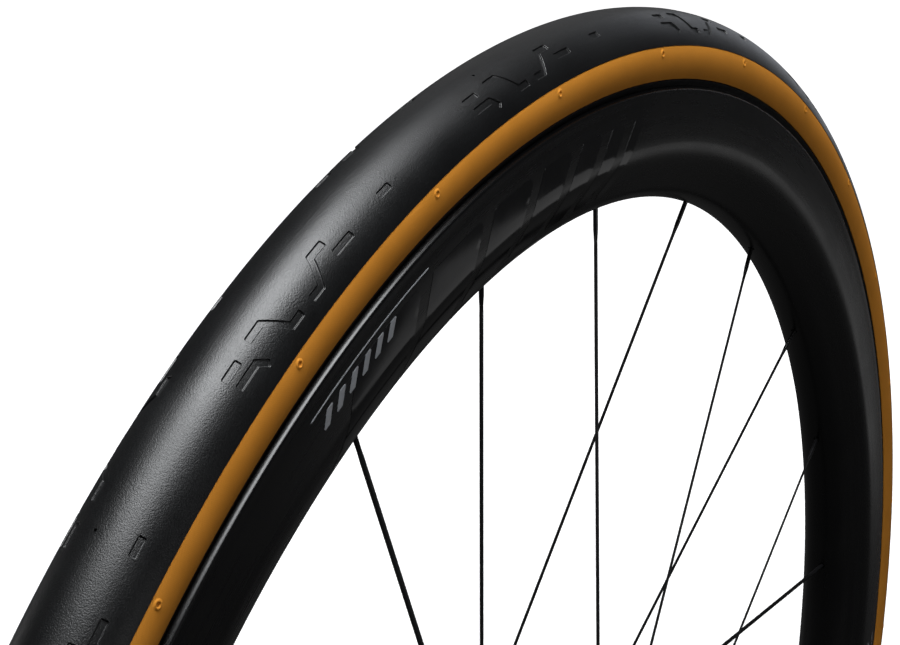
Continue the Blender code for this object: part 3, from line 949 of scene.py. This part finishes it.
class Graph:
    """A material's node graph, built a node at a time round its Principled shader."""

    def __init__(self, name, **constants):
        self.material = bpy.data.materials.new(name)
        self.material.use_nodes = True
        self.tree = self.material.node_tree
        self.shader = self.tree.nodes["Principled BSDF"]
        for key, value in constants.items():
            self.shader.inputs[key.replace("_", " ")].default_value = value
        self.where = self.tree.nodes.new("ShaderNodeTexCoord").outputs["Object"]

    def put(self, socket, value):
        if isinstance(value, bpy.types.NodeSocket):
            self.tree.links.new(value, socket)
        else:
            socket.default_value = value

    def math(self, operation, *values):
        node = self.tree.nodes.new("ShaderNodeMath")
        node.operation = operation
        for socket, value in zip(node.inputs, values):
            self.put(socket, value)
        return node.outputs[0]

    def noise(self, scale, detail=4.0, rough=0.55, where=None):
        node = self.tree.nodes.new("ShaderNodeTexNoise")
        self.put(node.inputs["Vector"], where or self.where)
        self.put(node.inputs["Scale"], scale)
        self.put(node.inputs["Detail"], detail)
        self.put(node.inputs["Roughness"], rough)
        return node.outputs["Fac"]

    def spread(self, value, low, high, new_low=0.0, new_high=1.0):
        node = self.tree.nodes.new("ShaderNodeMapRange")
        for key, number in zip(("Value", "From Min", "From Max", "To Min", "To Max"),
                               (value, low, high, new_low, new_high)):
            self.put(node.inputs[key], number)
        return node.outputs["Result"]

    def blend(self, share, first, second):
        node = self.tree.nodes.new("ShaderNodeMix")
        node.data_type = "RGBA"
        self.put(node.inputs["Factor"], share)
        self.put(node.inputs[6], first)
        self.put(node.inputs[7], second)
        return node.outputs[2]

    def paint(self, colour, rough, height=None, depth=0.0):
        """Colour, roughness and a bump whose height spans depth in millimetres."""
        self.put(self.shader.inputs["Base Color"], colour)
        self.put(self.shader.inputs["Roughness"], rough)
        if height is not None:
            node = self.tree.nodes.new("ShaderNodeBump")
            self.put(node.inputs["Distance"], depth * MM)
            self.put(node.inputs["Height"], height)
            self.put(self.shader.inputs["Normal"], node.outputs["Normal"])
        return self.material

    def wheel_place(self):
        """Distance along the wheel and from its axle in mm, and the object's own y."""
        split = self.tree.nodes.new("ShaderNodeSeparateXYZ")
        self.put(split.inputs[0], self.where)
        x, y, z = split.outputs
        turn = self.math("ARCTAN2", z, x)
        square = self.math("ADD", self.math("MULTIPLY", x, x), self.math("MULTIPLY", z, z))
        radius = self.math("MULTIPLY", self.math("SQRT", square), 1 / MM)
        return self.math("MULTIPLY", turn, SECTION_CENTRE), radius, y

    def stripes(self, value, pitch):
        """A wave from 0 to 1 with the pitch's period."""
        wave = self.math("SINE", self.math("MULTIPLY", value, math.tau / pitch))
        return self.math("MULTIPLY_ADD", wave, 0.5, 0.5)

    def bias_threads(self, along, across, pitch, joined):
        """Threads laid both ways across each other, joined by a math operation."""
        one = self.stripes(self.math("ADD", along, across), pitch)
        other = self.stripes(self.math("SUBTRACT", along, across), pitch)
        return self.math(joined, one, other)


def tread_rubber():
    g = Graph("tread_rubber", Specular_IOR_Level=0.5)
    cloud = g.noise(26.0, 5.0)
    grain = g.noise(2900.0, 1.0)
    pores = g.noise(1500.0, 1.0)
    share = g.math("MULTIPLY", cloud, grain)
    colour = g.blend(g.spread(share, 0.1, 0.45), shade(4, 4, 5), shade(9, 10, 11))
    rough = g.spread(g.math("ADD", grain, cloud), 0.7, 1.3, 0.32, 0.46)
    height = g.math("ADD", g.math("MULTIPLY", grain, 0.7), g.math("MULTIPLY", pores, 0.3))
    return g.paint(colour, rough, height, 0.085)


def tan_sidewall():
    """Tan gum over a bias-ply cloth whose threads print through."""
    g = Graph("tan_sidewall", Specular_IOR_Level=0.18)
    along, radius, _ = g.wheel_place()
    weave = g.bias_threads(along, radius, 0.62, "MULTIPLY")
    cloud = g.noise(60.0, 4.0)
    grain = g.noise(2600.0, 3.0, 0.7)
    worn = g.math("ADD", g.math("MULTIPLY", cloud, 0.65), g.math("MULTIPLY", grain, 0.35))
    base = g.blend(g.spread(worn, 0.3, 0.7), shade(200, 130, 40), shade(218, 143, 50))
    colour = g.blend(g.math("MULTIPLY", weave, 0.1), base, shade(150, 94, 24))
    height = g.math("ADD", g.math("MULTIPLY", weave, 0.5), g.math("MULTIPLY", grain, 0.5))
    return g.paint(colour, g.spread(worn, 0.3, 0.7, 0.7, 0.82), height, 0.03)


def chafer_rubber():
    g = Graph("chafer_rubber", Specular_IOR_Level=0.2)
    along, radius, _ = g.wheel_place()
    ribs = g.stripes(g.math("MULTIPLY_ADD", radius, 1.7, along), 1.1)
    cloud = g.noise(300.0, 4.0)
    colour = g.blend(g.math("MULTIPLY", ribs, cloud), shade(15, 15, 16), shade(28, 28, 30))
    return g.paint(colour, g.spread(cloud, 0.3, 0.7, 0.5, 0.65), ribs, 0.03)


def rim_carbon():
    """Satin lacquer over unidirectional carbon: long faint streaks along the rim."""
    g = Graph("rim_carbon", Specular_IOR_Level=0.5)
    along, radius, _ = g.wheel_place()
    streak = g.tree.nodes.new("ShaderNodeCombineXYZ")
    g.put(streak.inputs[0], g.math("MULTIPLY", along, 0.012))
    g.put(streak.inputs[1], g.math("MULTIPLY", radius, 0.35))
    fibre = g.noise(1.0, 5.0, 0.6, streak.outputs[0])
    cloud = g.noise(34.0, 5.0)
    colour = g.blend(g.math("MULTIPLY", fibre, cloud), shade(5, 5, 6), shade(13, 13, 14))
    rough = g.spread(g.math("ADD", fibre, cloud), 0.7, 1.3, 0.22, 0.32)
    return g.paint(colour, rough, fibre, 0.012)


def lacquer(name, dark, light, scale, detail, least_rough, most_rough, level):
    """A thin even coat, for the rim's graphics."""
    g = Graph(name, Specular_IOR_Level=level)
    cloud = g.noise(scale, detail)
    rough = g.spread(cloud, 0.3, 0.7, least_rough, most_rough)
    return g.paint(g.blend(cloud, dark, light), rough, cloud, 0.01)


def metal(name, dark, light, rough, pitch, axis):
    """A machined metal with fine turning lines."""
    g = Graph(name, Metallic=1.0)
    split = g.tree.nodes.new("ShaderNodeSeparateXYZ")
    g.put(split.inputs[0], g.where)
    jitter = g.noise(700.0, 3.0)
    place = g.math("MULTIPLY", split.outputs[axis], 1 / MM)
    lines = g.stripes(g.math("MULTIPLY_ADD", jitter, 0.4, place), pitch)
    colour = g.blend(g.math("MULTIPLY", lines, jitter), dark, light)
    patchy = g.spread(jitter, 0.3, 0.7, rough - 0.06, rough + 0.08)
    return g.paint(colour, patchy, lines, 0.004)


def satin(name, dark, light, rough, scale, depth):
    """A coated or moulded surface: fine orange peel under slow cloudiness."""
    g = Graph(name, Specular_IOR_Level=0.4)
    cloud = g.noise(scale / 12, 4.0)
    peel = g.noise(scale, 3.0, 0.6)
    colour = g.blend(g.math("MULTIPLY", cloud, peel), dark, light)
    patchy = g.spread(cloud, 0.3, 0.7, rough - 0.06, rough + 0.08)
    return g.paint(colour, patchy, peel, depth)


def cloth(name, dark, light, pitch, rough):
    """Bias-laid threads, for the plies inside the tyre."""
    g = Graph(name, Specular_IOR_Level=0.2)
    along, _, y = g.wheel_place()
    threads = g.bias_threads(along, g.math("MULTIPLY", y, 1 / MM), pitch, "MAXIMUM")
    patchy = g.spread(g.noise(900.0), 0.3, 0.7, rough - 0.1, rough)
    return g.paint(g.blend(threads, dark, light), patchy, threads, 0.05)


ALONG_AXLE = 1
ALONG_VALVE = 2
MATERIALS = {make.__name__: make()
             for make in (tread_rubber, tan_sidewall, chafer_rubber, rim_carbon)}
# Darkest and lightest display colours, then the function's other numbers
COATINGS = (
    (lacquer, "rim_gloss", (9, 9, 10), (18, 18, 20), 60.0, 4.0, 0.08, 0.14, 0.5),
    (lacquer, "rim_ink", (120, 122, 126), (156, 158, 162), 900.0, 3.0, 0.35, 0.5, 0.3),
    (cloth, "casing_cloth", (60, 45, 25), (150, 115, 70), 0.4, 0.8),
    (cloth, "belt_cloth", (90, 82, 40), (190, 172, 90), 0.6, 0.7),
    (cloth, "bead_cord", (120, 110, 60), (205, 190, 120), 0.5, 0.6),
    (satin, "rim_tape", (170, 160, 40), (215, 200, 80), 0.4, 900.0, 0.02),
    (satin, "spoke_black", (10, 10, 11), (30, 30, 33), 0.36, 2400.0, 0.004),
    (satin, "hub_black", (34, 34, 36), (62, 62, 66), 0.34, 1800.0, 0.006),
    (metal, "bearing_steel", (120, 120, 124), (200, 200, 205), 0.25, 0.2, ALONG_AXLE),
    (metal, "axle_aluminium", (150, 150, 154), (205, 206, 210), 0.32, 0.15, ALONG_AXLE),
    (satin, "valve_black", (26, 26, 28), (52, 52, 56), 0.32, 3000.0, 0.004),
    (metal, "valve_brass", (160, 120, 50), (220, 180, 100), 0.28, 0.12, ALONG_VALVE),
    (satin, "valve_rubber", (20, 20, 21), (40, 40, 42), 0.6, 1500.0, 0.02),
)
for finish, label, darkest, lightest, *numbers in COATINGS:
    MATERIALS[label] = finish(label, shade(*darkest), shade(*lightest), *numbers)


# ---- assembly ----

def add_wheel():
    """Every visible piece, on the CAD body it belongs to, in place of its CAD nodes."""
    dress(make_tread(), "tread_rubber", WHEEL, "tread_cap")
    for side, sign in (("left", 1.0), ("right", -1.0)):
        dress(make_sidewall(side, sign), "tan_sidewall", WHEEL, "sidewall_" + side)
        dress(make_chafer(side, -sign), "chafer_rubber", WHEEL, "chafer_" + side)
        dress(make_end_cap(side, -sign), "hub_black", AXLE, "end_cap_" + side)
    dress(make_rim(), "rim_carbon", WHEEL, "rim")
    dress(make_decals("rim_gloss_bars", gloss_graphics(), GLOSS_LIFT), "rim_carbon", WHEEL,
          material="rim_gloss")
    dress(make_decals("rim_pale_ticks", pale_graphics(), INK_LIFT), "rim_carbon", WHEEL,
          material="rim_ink")
    for number in range(SPOKE_COUNT):
        dress(make_spoke(number), "spoke_black", WHEEL, f"spoke_{number + 1:02d}")
    dress(make_hub_shell(), "hub_black", WHEEL, "hub_shell")
    dress(make_axle(), "axle_aluminium", AXLE, "axle")
    dress(make_valve_stem(), "valve_black", WHEEL, "valve_stem")
    dress(make_lock_nut(), "valve_black", "valve_lock_nut", "valve_lock_nut")
    dress(make_valve_cap(), "valve_black", "valve_cap", "valve_cap")
    dress(make_core_nut(), "valve_brass", "valve_core_nut", "valve_core_nut")


def dress_frame():
    """The hidden CAD nodes keep their shapes and take the same kinds of material."""
    for part in frame["record"]["subparts"]:
        node = frame["nodes"][part["node"]]
        node.data.materials.clear()
        node.data.materials.append(MATERIALS[part["material_slot"]])


# ---- floor, light and camera ----

# Metres, degrees, and a lens in millimetres
CAMERA_PLACE = (-0.5210, -0.2765, 0.4810)
CAMERA_HEADING = 30.63
CAMERA_PITCH = -21.56
CAMERA_LENS = 82.47
FLOOR_RADIUS = 9000.0         # of the flat floor; the bowl curves up beyond it
FLOOR_STEPS = 12
BOWL_RADIUS = 4000.0
BOWL_STEPS = 24
BOWL_TOP = 16000.0
BOWL_SIDES = 64
WHITE = (1.0, 1.0, 1.0)
WORLD_STRENGTH = 0.035
# Name, place, aim, width and height in metres, watts, tint
SOFTBOXES = (
    ("overhead", (-0.15, -0.08, 1.5), (-0.15, -0.08, 0.0), (1.0, 0.85), 36.0,
     (0.96, 0.98, 1.0)),
    ("horizon", (3.0, 0.3, 0.35), (0.0, 0.0, 0.1), (1.1, 1.7), 4.6, (0.88, 0.92, 1.0)),
    ("back", (1.8, 1.0, 1.1), (0.0, 0.0, 0.2), (1.5, 1.5), 1.2, WHITE),
    ("low_front", (1.8, -0.83, -0.54), (0.0, 0.0, 0.3), (0.8, 0.36), 0.23, WHITE),
    ("near_side", (-0.4, -2.2, -0.1), (0.0, 0.0, 0.0), (1.2, 0.8), 5.0, WHITE),
    ("far_side", (-0.4, 2.2, -0.1), (0.0, 0.0, 0.0), (1.2, 0.8), 5.0, WHITE),
)


def add_floor():
    """A pale sweep: flat under the wheel, then curving up into a bowl all round.

    It shows only to the camera, so that the wheel is lit by the softboxes alone,
    and glows more with distance, so that the sweep stays evenly pale.
    """
    ground = -TYRE_RADIUS
    profile = [(1.0, ground)]
    profile += [(FLOOR_RADIUS * k / FLOOR_STEPS, ground) for k in range(1, FLOOR_STEPS + 1)]
    for k in range(1, BOWL_STEPS + 1):
        turn = math.pi / 2 * k / BOWL_STEPS
        profile.append((FLOOR_RADIUS + BOWL_RADIUS * math.sin(turn),
                        ground + BOWL_RADIUS * (1 - math.cos(turn))))
    profile.append((FLOOR_RADIUS + BOWL_RADIUS, BOWL_TOP))
    count = len(profile)
    verts = []
    faces = []
    for step in range(BOWL_SIDES):
        turn = math.tau * step / BOWL_SIDES
        verts += [(r * math.cos(turn), r * math.sin(turn), z) for r, z in profile]
        here = step * count
        there = (step + 1) % BOWL_SIDES * count
        faces += [(here + k, there + k, there + k + 1, here + k + 1)
                  for k in range(count - 1)]
    faces.append(list(range(0, BOWL_SIDES * count, count)))
    floor = add_piece("floor", verts, faces)
    floor.visible_diffuse = False
    floor.visible_glossy = False
    floor.visible_shadow = False
    g = Graph("floor_paper", Specular_IOR_Level=0.1)
    g.shader.inputs["Emission Color"].default_value = (*WHITE, 1.0)
    distance = g.tree.nodes.new("ShaderNodeVectorMath")
    distance.operation = "LENGTH"
    g.put(distance.inputs[0], g.where)
    glow = g.spread(distance.outputs["Value"], 0.55, 1.3, 0.3, 1.0)
    g.put(g.shader.inputs["Emission Strength"], glow)
    colour = g.blend(g.noise(3.0), (0.84, 0.84, 0.84, 1.0), (0.88, 0.88, 0.88, 1.0))
    floor.data.materials.append(g.paint(colour, 0.9))


def add_lights():
    """A faint even sky, and softboxes sized along their own X and Y."""
    world = bpy.data.worlds.new("studio")
    world.use_nodes = True
    background = world.node_tree.nodes["Background"]
    background.inputs["Color"].default_value = (*WHITE, 1.0)
    background.inputs["Strength"].default_value = WORLD_STRENGTH
    bpy.context.scene.world = world
    for name, place, aim, size, watts, tint in SOFTBOXES:
        data = bpy.data.lights.new(name, "AREA")
        data.shape = "RECTANGLE"
        data.size, data.size_y = size
        data.energy = watts
        data.color = tint
        lamp = bpy.data.objects.new(name, data)
        lamp.location = place
        way = Vector(aim) - Vector(place)
        lamp.rotation_euler = way.to_track_quat("-Z", "Y").to_euler()
        bpy.context.scene.collection.objects.link(lamp)
        lamp.visible_camera = False


def add_camera():
    data = bpy.data.cameras.new("camera")
    data.sensor_width = 36.0
    data.lens = CAMERA_LENS
    data.clip_start = 0.01
    camera = bpy.data.objects.new("camera", data)
    camera.location = CAMERA_PLACE
    camera.rotation_euler = (math.radians(90.0 + CAMERA_PITCH), 0.0,
                             math.radians(CAMERA_HEADING - 90.0))
    bpy.context.scene.collection.objects.link(camera)
    bpy.context.scene.camera = camera


add_wheel()
dress_frame()
add_floor()
add_lights()
add_camera()
bpy.context.scene.view_settings.view_transform = "Standard"
